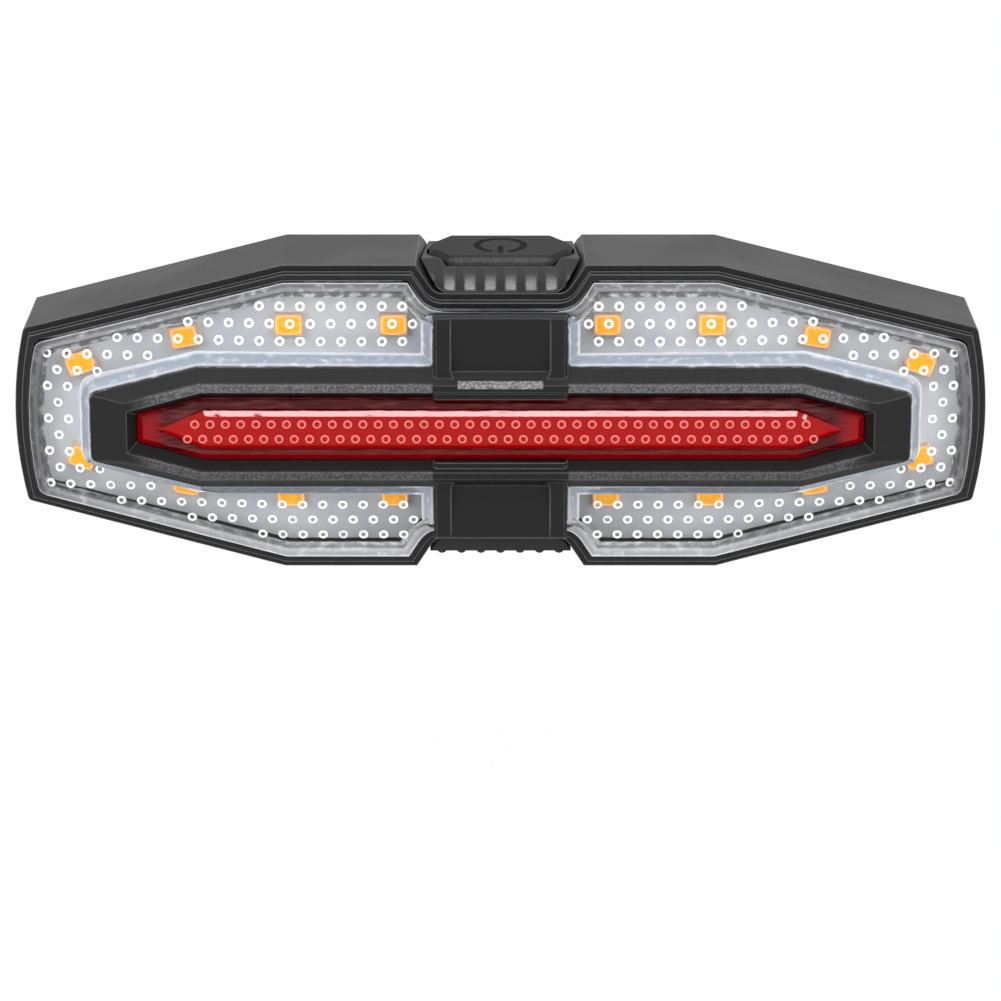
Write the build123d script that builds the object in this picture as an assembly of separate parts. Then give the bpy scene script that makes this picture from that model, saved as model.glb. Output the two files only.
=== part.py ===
from build123d import *

import os
from math import atan2, cos, degrees, hypot, radians, sin, tan

# Bicycle turn signal light on its seat-post bracket, in millimetres.
# Every piece is drawn with the light lying on its back: x runs along its length, y up its
# height and z out of its front, with z = 0 at the front edge of the housing wall.
# stand_up() then turns it so that the front faces -Y and the seat post stands on the Z axis.

# General fits
fit_gap = 0.08
seat_gap = 0.1
running_gap = 0.3
thread_gap = 0.02
merge = 0.5
overrun = 2.0

# Housing tub
half_width = 60.0
side_bow = 1.3
shoulder_run = 33.2
half_height = 19.5
shoulder_drop = 8.3
housing_depth = 16.0
wall_draft = 1.5
end_tilt = 1.8
wall = 2.4
back_wall = 1.8
rim_ledge = 0.9
lip_width = 0.75
lip_height = 1.1
lens_seat_depth = 1.6
lens_corner = 1.5
corner_radius = 0.8
back_chamfer = 0.9
back_angle = 45.0

# Notches in the top and bottom edge of the housing
notch_floor_half = 8.1
notch_lean = 2.3
notch_depth = 3.6
notch_corner = 1.8

# Clear lens
border_proud = 0.54
border_width = 1.27
groove_depth = 0.31
plate_tilt = 12.0
end_plate_tilt = 8.0
lens_wall = 1.5
bevel_width = 1.35
island_rise = 2.26
land_width = 1.3
pad_land = 0.9
pad_end_land = 2.7

# Seal under the lens border
seal_thickness = 0.5

# Centre frame
frame_half_height = 7.6
frame_side_margin = 9.7
frame_shoulder = 13.2
frame_end_drop = 3.35
frame_corner = 1.0
frame_edge = 0.4
frame_rise = 2.0
outer_bevel = 1.55
crest_width = 0.9
inner_bevel = 1.1
end_facet = 4.3
window_bend_back = 0.6
window_end_back = 5.7
window_end_drop = 2.25
window_rim = 1.3
skirt_wall = 1.2
skirt_gap = 0.2

# Bridge pads of the centre frame
pad_overhang = 0.1
pad_set_back = 1.5
pad_outer_rise = 0.9
pad_inner_drop = 0.55
pad_thickness = 1.5
pad_edge_round = 0.35
recess_side_margin = 2.1
recess_end_margin = 1.55
recess_corner_run = 0.85
recess_corner = 1.9
recess_depth = 0.9
recess_step_angle = 45.0

# Red lens
red_flange = 0.8
red_wall = 1.4
red_proud = 0.5
red_edge_drop = 0.4
red_step_in = 0.7
red_margin = 1.4
red_bevel = 0.8
red_ridge_rise = 0.7
red_bend_inset = 0.1
red_tip_inset = 2.2

# Light-emitting diodes and their board
led_length = 3.5
led_width = 2.8
led_height = 0.8
led_row_drop = 1.09
led_first_x = 13.2
led_end_margin = 8.1
led_bend_lag = 6.4
led_turns = (0, 0, 10, 20)
led_board_depth = 3.7
board_thickness = 1.0
board_edge_gap = 0.3
red_led_count = 17
red_led_inset = 4.6

# Screws, posts and bosses
post_radius = 1.7
screw_radius = 1.0
screw_length = 8.0
screw_hole_gap = 0.9
screw_head_radius = 1.9
screw_head_height = 1.3
screw_head_bevel = 0.5
boss_radius = 2.7
boss_height = 5.6
well_depth = 3.4
end_post_inset = 3.1
top_post_inset = 2.9
top_post_drop = 5.1
standoff_radius = 1.5
led_standoff_lag = 3.2
led_standoff_inset = 5.5

# Control board and what it carries
control_left = 10.0
control_end_gap = 7.2
control_edge_gap = 1.5
board_spacing = 4.9
standoff_inset = 2.2
switch_width = 4.8
switch_height = 3.5
switch_body = 3.4
plunger_radius = 1.1
plunger_sink = 0.8
usb_width = 8.94
usb_height = 3.26
usb_length = 7.3
usb_wall = 0.35
usb_corner = 1.5
usb_tongue = 0.7
usb_set_back = 0.25
header_pins = 6
header_pitch = 1.27
header_block = 2.2
header_gap = 2.4
radio_length = 14.0
radio_width = 10.0
radio_board = 0.8
radio_can_length = 8.5
radio_can_width = 7.2
radio_can_height = 1.6
radio_inset = 2.0
radio_y = -3.0
controller_size = 7.0
controller_height = 0.9
controller_gap = 1.9
controller_y = 2.6
charger_length = 5.0
charger_width = 4.4
charger_height = 1.2
coil_size = 4.0
coil_height = 2.0
capacitor_length = 3.0
capacitor_width = 1.6
capacitor_height = 1.1
charger_gap = 0.35
coil_place_shares = (-0.12, 0.21)
capacitor_place_shares = [(0.4, -0.42), (0.28, -0.67)]

# Battery
battery_side_gap = 1.2
battery_end_gap = 1.5
battery_top_gap = 2.5
battery_gap = 4.0
battery_round = 1.6
foam_thickness = 0.5
lead_radius = 0.5
lead_sides = 8
lead_spacing = 1.5
lead_jog = 4.0
lead_bend = 1.3

# Button and its ribbed bezel
bezel_height = 3.3
bezel_gap = 0.35
bezel_corner = 3.0
bezel_fall = 5.5
ramp_foot = 0.15
ramp_angle = 36.0
flute_lap = 0.65
flute_width = 1.35
flute_count = 8
flute_depth = 0.8
flute_length = 3.7
flute_start = 0.25
button_lap = 0.75
button_end_run = 2.35
button_front = 3.5
button_depth = 10.4
button_corner = 3.5
button_thickness = 1.8
button_bevel = 0.7
button_travel = 0.45
stem_radius = 1.4

# Port cover in the bottom notch
cover_thickness = 1.6
cover_margin = 0.3
cover_rib_margin = 0.81
cover_rib_count = 7
cover_rib_radius = 0.65
cover_rib_proud = 0.3
cover_rib_length = 4.0
cover_set_back = 0.2
port_width = 12.6
port_height = 6.8
port_corner = 2.0
plug_gap = 0.3
plug_height = 1.0

# Slide rail on the back and the bracket that fits it
rail_inner_half = 10.2
rail_slot_half = 8.0
rail_outer_half = 12.6
rail_depth = 2.4
rail_lip = 2.0
rail_half_length = 13.0
rail_stop = 1.6
rail_round = 1.0
slide_gap = 0.15
plate_thickness = 2.6
plate_corner = 2.5
tongue_tip = 1.2

# Seat-post saddle, its rubber pad and the strap
post_pipe_radius = 13.6
pad_rubber = 2.4
saddle_wall = 1.6
saddle_half_angle = 52.0
saddle_height = 13.4
saddle_middle_y = -5.0
pad_margin = 0.8
strap_thickness = 2.2
strap_end_margin = 5.0
strap_end_round = 3.0
tab_length = 7.0
tab_half_width = 4.0
peg_radius = 1.6
peg_head_radius = 2.5
peg_head_length = 1.0

# Housing sizes that follow from the ones above
bend_x = half_width - shoulder_run
corner_x = half_width - side_bow
corner_height = half_height - shoulder_drop
slant_angle = degrees(atan2(shoulder_drop, corner_x - bend_x))
notch_top_half = notch_floor_half + notch_lean
notch_floor_y = half_height - notch_depth
cavity_top = notch_floor_y - wall
cavity_floor = back_wall - housing_depth
lens_inset = rim_ledge + lip_width

# Lens, frame and pad sizes that follow
border_height = lip_height + border_proud
groove_inset = lens_inset + border_width
groove_height = border_height - groove_depth
lens_bottom = seal_thickness - lens_seat_depth
plate_foot_y = half_height - groove_inset
plate_foot_x = corner_x - groove_inset
end_fall = tan(radians(end_tilt)) * (plate_foot_x - bend_x)
island_height = border_height + island_rise
frame_end_x = half_width - frame_side_margin
frame_bend_x = frame_end_x - frame_shoulder
frame_end_height = frame_half_height - frame_end_drop
frame_slant_angle = degrees(atan2(frame_end_drop, frame_shoulder))
frame_bottom = island_height + seat_gap
frame_edge_height = frame_bottom + frame_edge
crest_height = frame_edge_height + frame_rise
window_half_height = frame_half_height - outer_bevel - crest_width - inner_bevel
window_end_height = window_half_height - window_end_drop
window_bend_x = frame_bend_x - window_bend_back
window_end_x = frame_end_x - window_end_back
pad_half_width = notch_floor_half + pad_overhang
pad_outer_y = notch_floor_y - pad_set_back
pad_outer_height = island_height + pad_outer_rise
pad_inner_height = crest_height - pad_inner_drop
recess_half_width = pad_half_width - recess_side_margin
recess_inner_half = recess_half_width - recess_corner_run
recess_end_y = window_half_height + recess_end_margin
red_face_height = frame_edge_height + red_proud
red_plateau_height = red_face_height + red_ridge_rise
red_ridge_half = window_half_height - red_margin
red_ridge_bend_x = window_bend_x - red_bend_inset
red_tip_x = window_end_x - red_tip_inset

# Places of the posts, boards and lamps
end_post_x = frame_end_x - end_post_inset
top_post_x = pad_half_width - top_post_inset
top_post_y = pad_outer_y - top_post_drop
post_places = [(end_post_x, 0), (-end_post_x, 0), (top_post_x, top_post_y), (-top_post_x, top_post_y)]
boss_top = cavity_floor + boss_height
post_end = boss_top + seat_gap
well_floor = well_depth - housing_depth
screw_hole_end = well_floor + screw_length + screw_hole_gap
led_row_y = (frame_half_height + plate_foot_y) / 2 - led_row_drop
led_bend_x = bend_x + led_bend_lag
led_pitch = (half_width - led_end_margin - led_first_x) / (len(led_turns) - 1)
red_led_reach = window_end_x - red_led_inset
red_led_pitch = 2 * red_led_reach / (red_led_count - 1)
led_board_back = -led_board_depth - board_thickness
led_standoff_x = bend_x + led_standoff_lag
led_standoff_y = half_height - led_standoff_inset
control_depth = board_spacing - led_board_back
control_back = -control_depth - board_thickness
control_right = end_post_x - control_end_gap
control_half_height = cavity_top - control_edge_gap
control_edge_x = control_right - standoff_inset
control_edge_y = control_half_height - standoff_inset
control_standoffs = [(control_edge_x, control_edge_y), (control_edge_x, -control_edge_y),
                     (standoff_inset - control_left, -control_edge_y)]
radio_x = control_right - radio_inset - radio_length / 2
header_x = radio_x - radio_length / 2 - header_gap - header_block / 2
controller_x = header_x - header_block / 2 - controller_gap - controller_size / 2
charger_y = usb_set_back + usb_length + charger_gap + charger_width / 2 - cavity_top
switch_middle = -control_depth + switch_height / 2
switch_top = cavity_top - button_travel - seat_gap
stem_end = switch_top + button_travel + seat_gap
usb_middle = -control_depth + usb_height / 2
battery_right = -(control_left + battery_gap)
battery_left = -(end_post_x - boss_radius - battery_end_gap)
battery_half_height = corner_height - battery_side_gap
battery_floor = cavity_floor + foam_thickness
battery_top = led_board_back - battery_top_gap

# Places of the button, cover and bracket
button_half_length = notch_floor_half + button_lap
button_flat_half = button_half_length - button_end_run
button_bottom = half_height - button_thickness
button_middle = -(button_front + button_depth / 2)
pocket_floor = button_bottom - button_travel - running_gap
flute_pitch = 2 * (notch_floor_half + flute_lap) / (flute_count - 1)
cover_bottom = -(notch_floor_y + seat_gap + cover_thickness)
cover_rib_pitch = 2 * (notch_floor_half - cover_rib_margin) / (cover_rib_count - 1)
cover_length = port_height / 2 - usb_middle + cover_margin - cover_set_back
hinge_line = -(cover_set_back + cover_length + running_gap / 2)
channel_floor = -housing_depth
slot_back = channel_floor - rail_depth
rail_back = slot_back - rail_lip
plate_front = rail_back - running_gap
plate_back = plate_front - plate_thickness
saddle_radius = post_pipe_radius + pad_rubber
post_z = plate_back - saddle_wall - saddle_radius
saddle_tip_z = post_z + saddle_radius * cos(radians(saddle_half_angle))
saddle_half_width = post_pipe_radius - seat_gap
strap_half_width = saddle_height / 2 + pad_margin
strap_outer_radius = post_pipe_radius + strap_thickness
peg_z = (saddle_tip_z + plate_back) / 2


def stand_up(shape):
    """Turn the drawn piece upright and put the seat-post axis on the origin."""
    return Pos(0, post_z, -saddle_middle_y) * Rot(X=90) * shape


def save(name, shape):
    """Write one node as a STEP file, its solids kept apart."""
    solids = stand_up(shape).solids()
    body = solids[0] if len(solids) == 1 else Compound(children=list(solids))
    export_step(body, os.path.join("parts", name + ".step"))


def prism(outline, low, high):
    """The outline carried straight along z from one level to another."""
    return extrude(Pos(0, 0, low) * outline, amount=high - low, dir=(0, 0, 1))


def block(x_low, x_high, y_low, y_high, z_low, z_high):
    """A box given by its faces."""
    size = (x_high - x_low, y_high - y_low, z_high - z_low)
    return Pos(x_low, y_low, z_low) * Box(*size, align=(Align.MIN, Align.MIN, Align.MIN))


def rod(radius, x, y, low, high):
    """A round bar along z."""
    return Pos(x, y, low) * Cylinder(radius, high - low, align=(Align.CENTER, Align.CENTER, Align.MIN))


def upright_rod(radius, x, z, low, high):
    """A round bar along y, from one height to another."""
    bar = Cylinder(radius, high - low, align=(Align.CENTER, Align.CENTER, Align.MIN))
    return Pos(x, low, z) * Rot(X=-90) * bar


def under(shape, *planes):
    """What is left of the shape below every plane."""
    for plane in planes:
        shape = split(shape, bisect_by=plane, keep=Keep.BOTTOM)
    return shape


def facet(point, *falls):
    """The plane through a point that falls by each slope in its direction, an angle from +x."""
    along_x = sum(slope * cos(radians(angle)) for angle, slope in falls)
    along_y = sum(slope * sin(radians(angle)) for angle, slope in falls)
    return Plane(origin=point, z_dir=(along_x, along_y, 1))


def mirrored(angle, side, up):
    """A direction of the right upper quarter carried over to another quarter."""
    angle = angle if side > 0 else 180 - angle
    return angle * up


def end_planes(height):
    """Two planes that leave the level front at the bends and fall back to the ends."""
    slope = tan(radians(end_tilt))
    return [facet((side * bend_x, 0, height), (mirrored(0, side, 1), slope)) for side in (1, -1)]


def octagon(bend, height, end, end_height):
    """A long hexagon with blunt ends: level top and bottom, slanted shoulders."""
    right = [(bend, height), (end, end_height), (end, -end_height), (bend, -height)]
    left = [(-x, y) for x, y in reversed(right)]
    return make_face(Polyline(*right, *left, close=True))


def grown(outline, amount):
    """The outline moved outwards, or inwards where the amount is negative."""
    return offset(outline, amount=amount, kind=Kind.INTERSECTION)


def inside_rim(inset):
    """The housing outline moved inwards, with the rounder end corners of the lens."""
    face = grown(outline, -inset)
    corners = face.vertices().filter_by(lambda v: abs(v.X) > (corner_x + bend_x) / 2)
    return fillet(corners, lens_corner)


def bowed_outline(notched):
    """The outline of the housing, with bowed ends and, if asked for, its two notches."""
    upper = [(-corner_x, corner_height), (-bend_x, half_height)]
    if notched:
        upper += [(-notch_top_half, half_height), (-notch_floor_half, notch_floor_y),
                  (notch_floor_half, notch_floor_y), (notch_top_half, half_height)]
    upper += [(bend_x, half_height), (corner_x, corner_height)]
    lower = [(x, -y) for x, y in reversed(upper)]
    sides = [ThreePointArc(upper[-1], (half_width, 0), lower[0]),
             ThreePointArc(lower[-1], (-half_width, 0), upper[0])]
    face = make_face([Polyline(*upper), sides[0], Polyline(*lower), sides[1]])
    corners = [v for v in face.vertices() if abs(v.X) > (corner_x + bend_x) / 2]
    face = fillet(corners, corner_radius)
    if notched:
        floors = [v for v in face.vertices() if abs(v.X) < (notch_floor_half + notch_top_half) / 2]
        face = fillet(floors, notch_corner)
    return face


plain_outline = bowed_outline(False)
outline = bowed_outline(True)
frame_outline = octagon(frame_bend_x, frame_half_height, frame_end_x, frame_end_height)
frame_outline = fillet(frame_outline.vertices().filter_by(lambda v: abs(v.X) > frame_bend_x + merge), frame_corner)
window_outline = octagon(window_bend_x, window_half_height, window_end_x, window_end_height)
lens_outline = inside_rim(lens_inset + fit_gap)


def notch_profile(side, gap, lift, height, corner):
    """A trapezium that fills the top (side 1) or bottom (side -1) notch from a lift above its floor."""
    lean = (notch_top_half - notch_floor_half) / notch_depth
    low = notch_floor_half - hypot(1, lean) * gap + lean * lift
    high = low + lean * height
    corners = [(-low, 0), (low, 0), (high, height), (-high, height)]
    points = [(x, side * (notch_floor_y + lift + y)) for x, y in corners]
    face = make_face(Polyline(*points, close=True))
    feet = face.vertices().sort_by(Axis.Y, reverse=side < 0)[:2]
    return fillet(feet, corner)


def slide_rails():
    """Two L-shaped rails on the back, joined by a stop at their upper end."""
    solid = block(-rail_outer_half, rail_outer_half, -rail_half_length, rail_half_length,
                  rail_back, channel_floor + overrun)
    corners = solid.edges().filter_by(Axis.Z).group_by(Axis.Y)[-1]
    solid = fillet(corners, rail_round)
    low, high = -rail_half_length - overrun, rail_half_length - rail_stop
    solid -= block(-rail_inner_half, rail_inner_half, low, high, slot_back, channel_floor)
    solid -= block(-rail_slot_half, rail_slot_half, low, high, rail_back - overrun, slot_back)
    return under_back(solid)


def under_back(solid):
    """Drop the part of a rail that reaches into the housing cavity."""
    return split(solid, bisect_by=Plane((0, 0, channel_floor + back_wall / 2)), keep=Keep.BOTTOM)


def rear_housing():
    """Drafted tub with a raised lip, lens seat, notches, bosses, wells and slide rails."""
    straight = housing_depth - back_chamfer
    tub = extrude(plain_outline, amount=straight, dir=(0, 0, -1), taper=wall_draft)
    back = Pos(0, 0, -straight) * grown(plain_outline, -straight * tan(radians(wall_draft)))
    tub += extrude(back, amount=back_chamfer, dir=(0, 0, -1), taper=back_angle)
    tub = under(tub, *end_planes(0))
    lip = prism(grown(outline, -rim_ledge), -lens_seat_depth, lip_height)
    tub += under(lip, *end_planes(lip_height))
    for side in (1, -1):
        channel = notch_profile(side, 0, 0, notch_depth + overrun, notch_corner)
        tub -= prism(channel, -housing_depth - overrun, overrun)
    tub -= prism(inside_rim(lens_inset), -lens_seat_depth, lip_height + overrun)
    tub -= prism(grown(outline, -wall), cavity_floor, overrun)
    for x, y in post_places:
        tub += rod(boss_radius, x, y, cavity_floor, boss_top)
        tub -= rod(screw_radius + fit_gap, x, y, -housing_depth - overrun, boss_top + overrun)
        tub -= rod(screw_head_radius + seat_gap, x, y, -housing_depth - overrun, well_floor)
    for x in (-led_standoff_x, led_standoff_x):
        for y in (-led_standoff_y, led_standoff_y):
            tub += rod(standoff_radius, x, y, cavity_floor, led_board_back)
    for x, y in control_standoffs:
        tub += rod(standoff_radius, x, y, cavity_floor, control_back)
    tub += slide_rails()
    tub -= upright_rod(stem_radius + running_gap, 0, switch_middle, cavity_top - overrun, half_height)
    mouth = rounded_slab(port_width, port_height, port_corner, wall + 2 * overrun)
    return tub - Pos(0, overrun - cavity_top, usb_middle) * Rot(X=90) * mouth


def rounded_slab(width, height, radius, thickness):
    """A slab with rounded corners that rises from the XY plane."""
    return extrude(RectangleRounded(width, height, radius), amount=thickness, dir=(0, 0, 1))


def lens_form(inset, drop):
    """The faceted solid that the lens fills: plates that rise from the groove to the frame."""
    face = grown(outline, -(groove_inset + fit_gap + inset))
    tall = prism(face, lens_bottom - overrun if inset else lens_bottom, crest_height)
    low = groove_height - drop
    rise, end_rise = tan(radians(plate_tilt)), tan(radians(end_plate_tilt))
    along = tan(radians(end_tilt)) * cos(radians(slant_angle))
    plates = []
    for up in (1, -1):
        plates.append(facet((0, up * plate_foot_y, low), (up * 90, rise)))
        for side in (1, -1):
            outward, onward = mirrored(90 - slant_angle, side, up), mirrored(-slant_angle, side, up)
            plates.append(facet((side * bend_x, up * plate_foot_y, low), (outward, rise), (onward, along)))
    for side in (1, -1):
        plates.append(facet((side * plate_foot_x, 0, low - end_fall), (mirrored(0, side, 1), end_rise)))
    return under(tall, *plates)


def island_form(shrink, drop):
    """The bevelled rise under the frame, its bevels as steep as the plates beside them ask."""
    side_foot = groove_height + tan(radians(plate_tilt)) * (plate_foot_y - frame_half_height - bevel_width)
    end_rise = tan(radians(end_plate_tilt)) * (plate_foot_x - frame_end_x - bevel_width)
    end_foot = groove_height - end_fall + end_rise
    side_slope = (island_height - side_foot) / bevel_width
    end_slope = (island_height - end_foot) / bevel_width
    shoulder_slope = (side_slope + end_slope) / 2
    top = island_height - drop
    base = lens_bottom - overrun if drop else lens_bottom
    tall = prism(grown(frame_outline, bevel_width - shrink), base, top)
    bevels = []
    for up in (1, -1):
        bevels.append(facet((0, up * (frame_half_height - shrink), top), (up * 90, side_slope)))
        for side in (1, -1):
            outward = mirrored(90 - frame_slant_angle, side, up)
            start = (side * frame_bend_x - shrink * cos(radians(outward)),
                     up * frame_half_height - shrink * sin(radians(outward)), top)
            bevels.append(facet(start, (outward, shoulder_slope)))
    for side in (1, -1):
        bevels.append(facet((side * (frame_end_x - shrink), 0, top), (mirrored(0, side, 1), end_slope)))
    return under(tall, *bevels)


def pad_plane(side, drop):
    """The tilted plane of a pad's surface, or of a face parallel to it."""
    return facet((0, side * pad_outer_y, pad_outer_height - drop), (side * 90, pad_slope()))


def pad_slope():
    """How much the pads rise towards the red lens, per length."""
    return (pad_inner_height - pad_outer_height) / (pad_outer_y - window_half_height)


def bridge_form(side, shrink, drop):
    """The rise of the lens under one bridge pad, with a bevel down to each side."""
    half = pad_half_width + seat_gap - shrink
    base = lens_bottom - overrun if drop else lens_bottom
    low, high = sorted((side * frame_half_height / 2, side * plate_foot_y))
    tall = block(-half - bevel_width, half + bevel_width, low, high, base, island_height - drop)
    under_pad = pad_thickness + seat_gap + drop
    slope = (island_height - groove_height) / bevel_width
    bevels = [facet((s * half, side * pad_outer_y, pad_outer_height - under_pad),
                    (mirrored(0, s, 1), slope), (side * 90, pad_slope())) for s in (1, -1)]
    clip = grown(outline, -(groove_inset + fit_gap + (lens_wall if shrink else 0)))
    return under(tall, pad_plane(side, under_pad), *bevels) & prism(clip, base, crest_height)


def clear_lens():
    """One dished shell from the housing lip to the frame, open behind the frame and its pads."""
    border = under(prism(lens_outline, lens_bottom, border_height), *end_planes(border_height))
    border -= prism(grown(outline, -(groove_inset + fit_gap)), lens_bottom - overrun, crest_height)
    solid = border + lens_form(0, 0) + island_form(0, 0)
    hollow = lens_form(seat_gap, lens_wall) + island_form(lens_wall, lens_wall)
    for side in (1, -1):
        solid += bridge_form(side, 0, 0)
        hollow += bridge_form(side, lens_wall, lens_wall)
    solid -= hollow
    return solid - prism(lens_opening(0), lens_bottom - overrun, crest_height + overrun)


def lens_opening(shrink):
    """The hole in the clear lens: the frame with its pads, less the land they rest on."""
    half = pad_half_width - pad_land - shrink
    reach = pad_outer_y - pad_end_land - shrink
    return grown(frame_outline, -(land_width + shrink)) + Rectangle(2 * half, 2 * reach)


def lens_seal():
    """Flat ring between the lens border and its seat in the housing."""
    ring = lens_outline - grown(outline, -wall)
    return prism(ring, -lens_seat_depth, lens_bottom)


def frame_ridge():
    """Hexagonal ridge: steep outer bevels, a narrow crest and long falling ends."""
    climb = (crest_height - frame_edge_height) / outer_bevel
    end_climb = (crest_height - frame_edge_height) / end_facet
    bevels = []
    for up in (1, -1):
        bevels.append(facet((0, up * frame_half_height, frame_edge_height), (up * 90, climb)))
        for side in (1, -1):
            bevels.append(facet((side * frame_bend_x, up * frame_half_height, frame_edge_height),
                                (mirrored(90 - frame_slant_angle, side, up), climb)))
    for side in (1, -1):
        bevels.append(facet((side * frame_end_x, 0, frame_edge_height), (mirrored(0, side, 1), end_climb)))
    ridge = under(prism(frame_outline, frame_bottom, crest_height), *bevels)
    flare = degrees(atan2(inner_bevel, crest_height - frame_edge_height))
    funnel = extrude(Pos(0, 0, frame_edge_height) * window_outline, dir=(0, 0, 1), taper=-flare,
                     amount=crest_height - frame_edge_height + overrun)
    return ridge - funnel


def bridge_pad(side):
    """Tilted pad that bridges the lens, with a sunk panel that ends in a sloping step."""
    low, high = sorted((side * window_half_height, side * pad_outer_y))
    tall = block(-pad_half_width, pad_half_width, low, high, 0, crest_height + overrun)
    pad = under(tall, pad_plane(side, 0))
    inner_y = window_half_height + pad_edge_round
    brow = [e for e in pad.faces().sort_by(Axis.Z)[-1].edges() if abs(e.center().Y) > inner_y]
    pad = chamfer(brow, pad_edge_round)
    wide, narrow, outer_y = recess_half_width, recess_inner_half, pad_outer_y + overrun
    right = [(wide, outer_y), (wide, recess_end_y + recess_corner), (narrow, recess_end_y)]
    left = [(-x, y) for x, y in reversed(right)]
    panel = make_face(Polyline(*[(x, side * y) for x, y in right + left], close=True))
    foot_y = recess_end_y + recess_depth
    foot_height = pad_outer_height + pad_slope() * (pad_outer_y - foot_y) - recess_depth
    floor_slope = (foot_height - pad_outer_height) / (pad_outer_y - foot_y)
    floor = facet((0, side * pad_outer_y, pad_outer_height), (side * 90, floor_slope))
    step = facet((0, side * foot_y, foot_height), (side * 90, tan(radians(recess_step_angle))))
    cut = prism(panel, 0, crest_height + overrun)
    for plane in (floor, step):
        cut = split(cut, bisect_by=plane, keep=Keep.TOP)
    return split(pad - cut, bisect_by=pad_plane(side, pad_thickness), keep=Keep.TOP)


def centre_frame():
    """Trim frame: ridge, bridge pads, light-tight skirt and four screw posts."""
    skirt = grown(frame_outline, -(land_width + seat_gap))
    solid = frame_ridge() + bridge_pad(1) + bridge_pad(-1)
    solid += prism(skirt, frame_edge_height - window_rim, frame_edge_height)
    solid += prism(skirt - grown(skirt, -skirt_wall), skirt_gap - led_board_depth, frame_bottom)
    for x, y in post_places:
        solid += rod(post_radius, x, y, post_end, frame_edge_height)
    solid -= prism(window_outline, frame_edge_height - window_rim - overrun, crest_height + overrun)
    pocket = grown(window_outline, red_flange + fit_gap)
    solid -= prism(pocket, seat_gap - led_board_depth, frame_edge_height - window_rim)
    for x, y in post_places:
        solid -= rod(screw_radius + thread_gap, x, y, post_end - overrun, screw_hole_end)
    return solid


def red_hexagon(bend, height, tip):
    """A long hexagon with pointed ends."""
    points = [(bend, height), (tip, 0), (bend, -height), (-bend, -height), (-tip, 0), (-bend, height)]
    return make_face(Polyline(*points, close=True))


def red_lens():
    """Long pointed lens: held flange, sloping margin and a raised faceted ridge."""
    seat = frame_edge_height - window_rim - seat_gap
    body = grown(window_outline, -fit_gap)
    neck = red_face_height - red_edge_drop
    solid = prism(grown(window_outline, red_flange), seat - red_wall, seat)
    solid += prism(body, seat - red_wall, neck)
    margin = degrees(atan2(red_step_in, red_edge_drop))
    solid += extrude(Pos(0, 0, neck) * body, amount=red_edge_drop, dir=(0, 0, 1), taper=margin)
    low = red_hexagon(red_ridge_bend_x, red_ridge_half, red_tip_x)
    high = grown(low, -red_bevel)
    foot = grown(low, merge * red_bevel / red_ridge_rise)
    sections = [Pos(0, 0, red_face_height - merge) * foot, Pos(0, 0, red_plateau_height) * high]
    solid += loft(sections, ruled=True)
    inner = grown(window_outline, -red_wall)
    return solid - prism(inner, seat - red_wall - overrun, red_face_height - red_wall)


def package(length, width, height):
    """One flat electronic package standing on z = 0."""
    return Box(length, width, height, align=(Align.CENTER, Align.CENTER, Align.MIN))


def amber_leds():
    """Four packages along each quarter of the light, turned to follow the slanted ends."""
    packages = []
    for number, turn in enumerate(led_turns):
        x = led_first_x + number * led_pitch
        y = led_row_y - max(0, x - led_bend_x) * tan(radians(slant_angle))
        for side in (1, -1):
            for up in (1, -1):
                place = Pos(side * x, up * y, -led_board_depth) * Rot(Z=-side * up * turn)
                packages.append(place * package(led_length, led_width, led_height))
    return packages


def red_leds():
    """One row of packages behind the red lens."""
    lamp = package(led_width, led_length, led_height)
    return [Pos(number * red_led_pitch - red_led_reach, 0, -led_board_depth) * lamp
            for number in range(red_led_count)]


def led_board():
    """White board that fills the housing behind the lenses."""
    sheet = grown(outline, -(wall + board_edge_gap))
    board = prism(sheet, led_board_back, -led_board_depth)
    for x, y in post_places:
        board -= rod(post_radius + running_gap, x, y, led_board_back - overrun, overrun)
    return board


def control_board():
    """Circuit board with holes for the screw bosses that pass through it."""
    board = block(-control_left, control_right, -control_half_height, control_half_height,
                  control_back, -control_depth)
    for x, y in post_places:
        board -= rod(boss_radius + running_gap, x, y, control_back - overrun, overrun)
    return board


def control_chips():
    """The larger packages: controller, charging chip, coil and two capacitors."""
    charger = package(charger_length, charger_width, charger_height)
    coil = package(coil_size, coil_size, coil_height)
    capacitor = package(capacitor_length, capacitor_width, capacitor_height)
    placed = [(coil, coil_place_shares)] + [(capacitor, shares) for shares in capacitor_place_shares]
    chips = [Pos(share_x * control_right, share_y * control_half_height, -control_depth) * chip
             for chip, (share_x, share_y) in placed]
    controller = package(controller_size, controller_size, controller_height)
    chips.append(Pos(charger_length / 2 + charger_gap, charger_y, -control_depth) * charger)
    return chips + [Pos(controller_x, controller_y, -control_depth) * controller]


def board_header():
    """Plastic block of the row of pins that joins the two boards."""
    reach = header_pitch * header_pins / 2
    half = header_block / 2
    return block(header_x - half, header_x + half, -reach, reach, -control_depth, led_board_back)


def radio_module():
    """Small radio board with its screening can, flat on the control board."""
    board = package(radio_length, radio_width, radio_board)
    can = Pos(0, 0, radio_board) * package(radio_can_length, radio_can_width, radio_can_height)
    return Pos(radio_x, radio_y, -control_depth) * (board + can)


def power_switch():
    """Tact switch at the top edge of the control board, with a blind hole for its plunger."""
    body = block(-switch_width / 2, switch_width / 2, switch_top - switch_body, switch_top,
                 -control_depth, -control_depth + switch_height)
    hole = upright_rod(plunger_radius + fit_gap, 0, switch_middle,
                       switch_top - plunger_sink - button_travel - running_gap, switch_top + overrun)
    return body - hole


def switch_plunger():
    """Short round plunger of the switch, which the button stem pushes."""
    return upright_rod(plunger_radius, 0, switch_middle, switch_top - plunger_sink, stem_end)


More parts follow.
